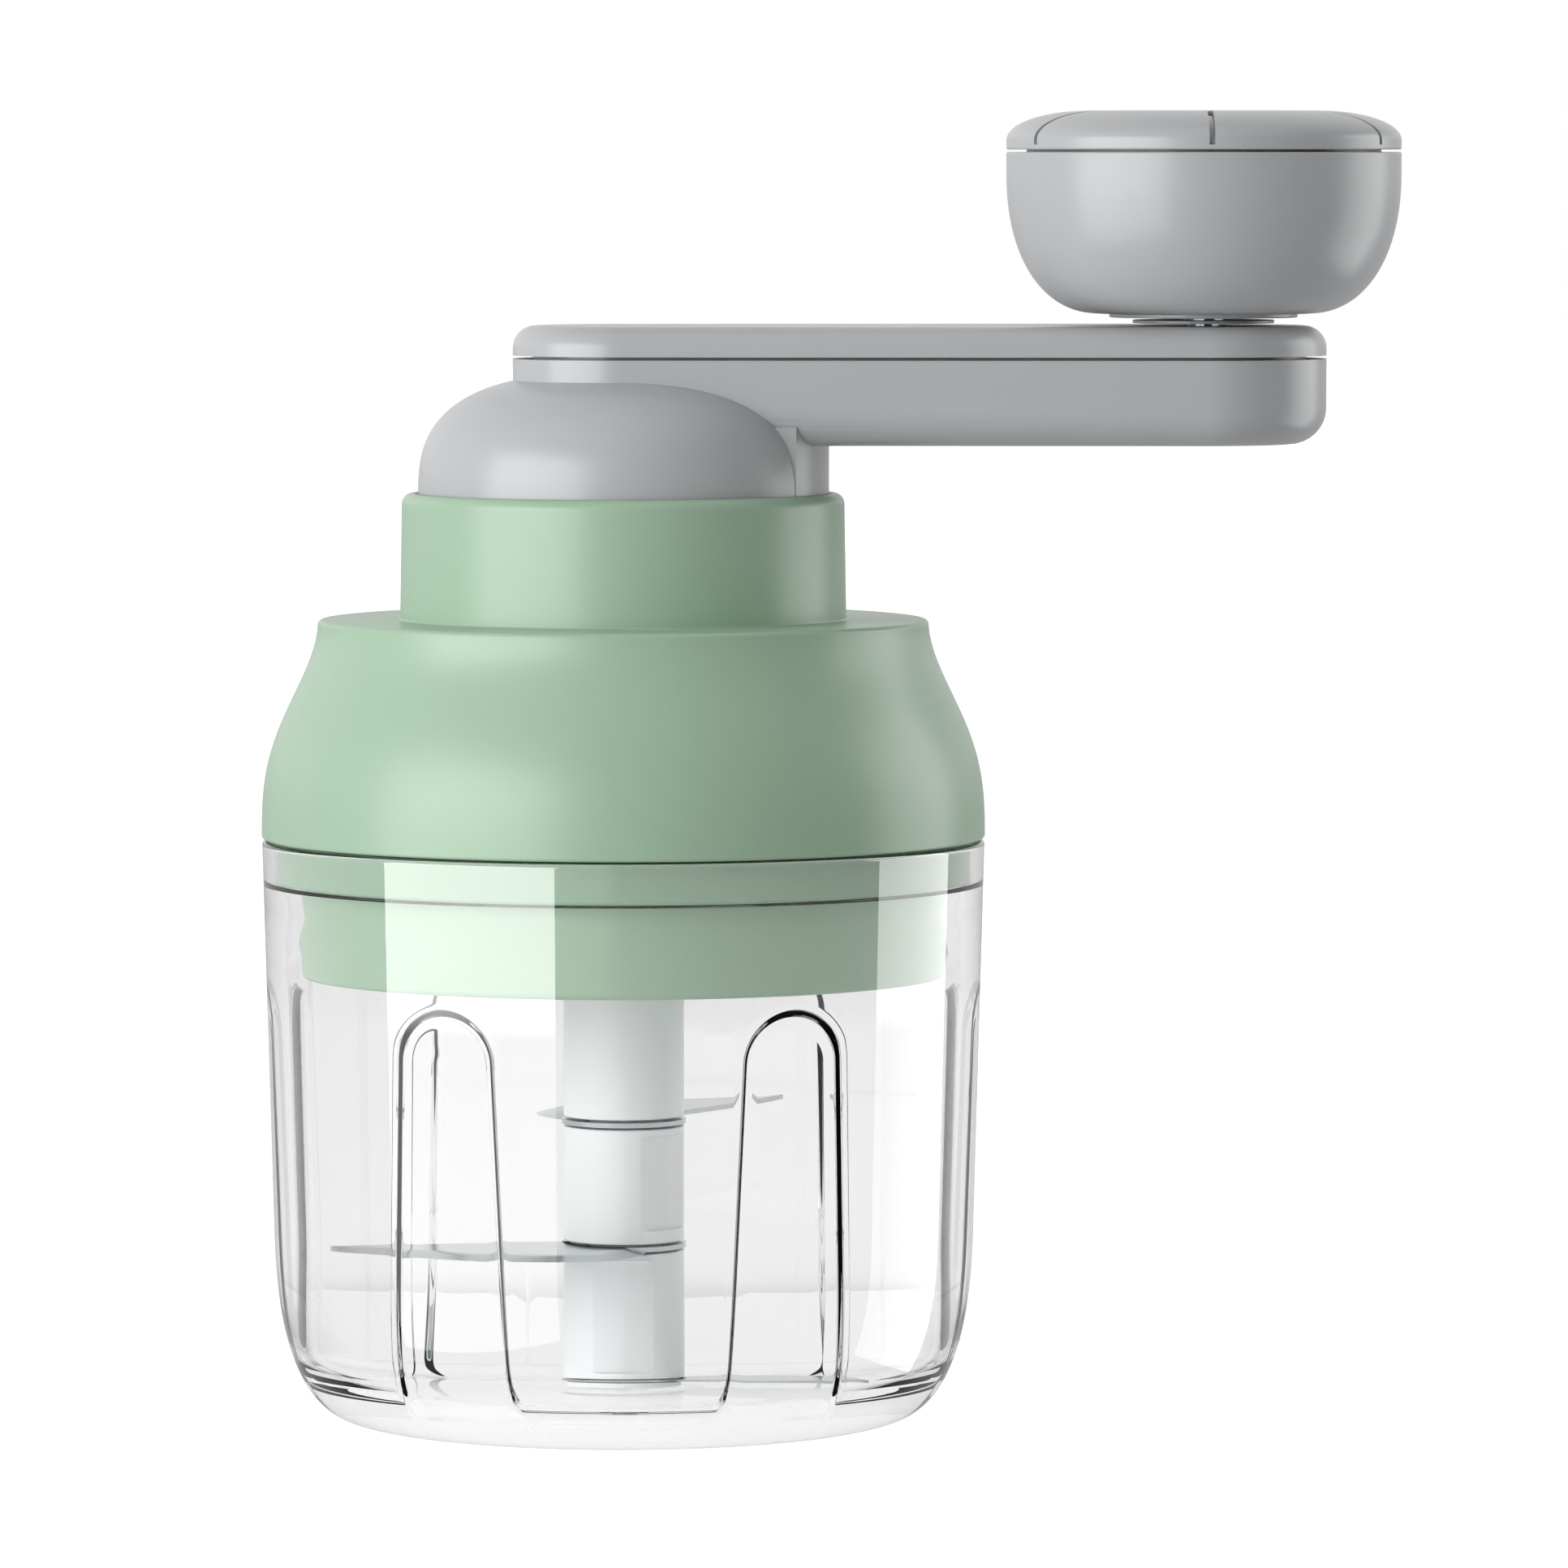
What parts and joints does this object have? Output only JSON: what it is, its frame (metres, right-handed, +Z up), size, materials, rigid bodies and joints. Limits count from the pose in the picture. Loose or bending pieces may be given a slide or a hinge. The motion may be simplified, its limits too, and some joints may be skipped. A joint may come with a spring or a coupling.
{
  "type": "hand-cranked vegetable chopper",
  "caption": "Small hand-cranked food chopper: clear ribbed cup with spinning blades, bell-shaped lid with a step-up gear in its neck, long crank arm with a turning knob.",
  "frame": {"origin": "centre of the cup's flat base, on the surface that it stands on", "axes": "+Z up along the axis of the cup, crank and blades; +X along the crank arm at rest"},
  "size_m": [0.1416, 0.09, 0.1628],
  "materials": {
    "clear_plastic": "clear, glossy, moulded",
    "green_plastic": "sage green, satin, fine moulded grain",
    "green_silicone": "sage green, matt",
    "grey_plastic": "light grey, satin, fine moulded grain",
    "pale_plastic": "off-white, satin",
    "gear_plastic": "natural acetal, smooth",
    "black_rubber": "black, matt",
    "bright_steel": "turned, bright",
    "blade_steel": "ground and polished",
    "brass": "turned"
  },
  "bodies": {
    "base": {"cup": "clear_plastic", "cup_pivot_pin": "bright_steel"},
    "lid": {"lid_shell": "green_plastic", "lid_inner": "green_plastic", "lid_seal_ring": "green_silicone", "lid_screw_1": "bright_steel", "lid_screw_2": "bright_steel", "lid_screw_3": "bright_steel", "ring_gear": "gear_plastic", "retaining_ring": "gear_plastic", "upper_shaft_bush": "brass", "lower_shaft_bush": "brass", "shaft_seal": "black_rubber"},
    "crank": {"crank_arm": "grey_plastic", "arm_cover": "grey_plastic", "hub_screw": "bright_steel", "hub_washer": "bright_steel", "arm_insert": "brass", "knob_screw": "bright_steel", "knob_collar": "grey_plastic", "planet_carrier": "gear_plastic", "planet_pin_1": "bright_steel", "planet_pin_2": "bright_steel", "planet_pin_3": "bright_steel"},
    "knob": {"knob_body": "grey_plastic", "knob_cap": "grey_plastic", "knob_bush": "gear_plastic"},
    "planet_1": {"planet_gear_1": "gear_plastic"},
    "planet_2": {"planet_gear_2": "gear_plastic"},
    "planet_3": {"planet_gear_3": "gear_plastic"},
    "drive": {"sun_gear": "gear_plastic", "drive_shaft": "bright_steel", "shaft_clip": "bright_steel"},
    "pivot": {"foot_bush": "gear_plastic"},
    "blades": {"holder_core": "bright_steel", "holder_top": "pale_plastic", "holder_middle": "pale_plastic", "holder_low": "pale_plastic", "holder_foot": "pale_plastic", "blade_top": "blade_steel", "blade_middle": "blade_steel", "blade_low": "blade_steel"}
  },
  "joints": [
    {"name": "lid_lift", "type": "slide", "parent": "base", "child": "lid", "axis": [0, 0, 1], "range_m": [0, 0.12]},
    {"name": "crank_turn", "type": "hinge", "parent": "lid", "child": "crank", "pos_m": [0, 0, 0.1129], "axis": [0, 0, 1], "continuous": true},
    {"name": "knob_spin", "type": "hinge", "parent": "crank", "child": "knob", "pos_m": [0.0721, 0, 0.1372], "axis": [0, 0, 1], "continuous": true},
    {"name": "planet_1_turn", "type": "hinge", "parent": "crank", "child": "planet_1", "pos_m": [0.0144, 0, 0.1011], "axis": [0, 0, 1], "continuous": true},
    {"name": "planet_2_turn", "type": "hinge", "parent": "crank", "child": "planet_2", "pos_m": [-0.0072, 0.01247, 0.1011], "axis": [0, 0, 1], "continuous": true},
    {"name": "planet_3_turn", "type": "hinge", "parent": "crank", "child": "planet_3", "pos_m": [-0.0072, -0.01247, 0.1011], "axis": [0, 0, 1], "continuous": true},
    {"name": "drive_turn", "type": "hinge", "parent": "lid", "child": "drive", "pos_m": [0, 0, 0.1011], "axis": [0, 0, 1], "continuous": true},
    {"name": "blade_lift", "type": "slide", "parent": "base", "child": "pivot", "axis": [0, 0, 1], "range_m": [0, 0.0744]},
    {"name": "blade_turn", "type": "hinge", "parent": "pivot", "child": "blades", "pos_m": [0, 0, 0.0041], "axis": [0, 0, 1], "continuous": true}
  ],
  "couplings": [
    {"joint": "planet_1_turn", "follows": "crank_turn", "ratio": -3},
    {"joint": "planet_2_turn", "follows": "crank_turn", "ratio": -3},
    {"joint": "planet_3_turn", "follows": "crank_turn", "ratio": -3},
    {"joint": "drive_turn", "follows": "crank_turn", "ratio": 4},
    {"joint": "blade_turn", "follows": "crank_turn", "ratio": 4},
    {"joint": "blade_lift", "follows": "lid_lift", "ratio": 0.62}
  ]
}
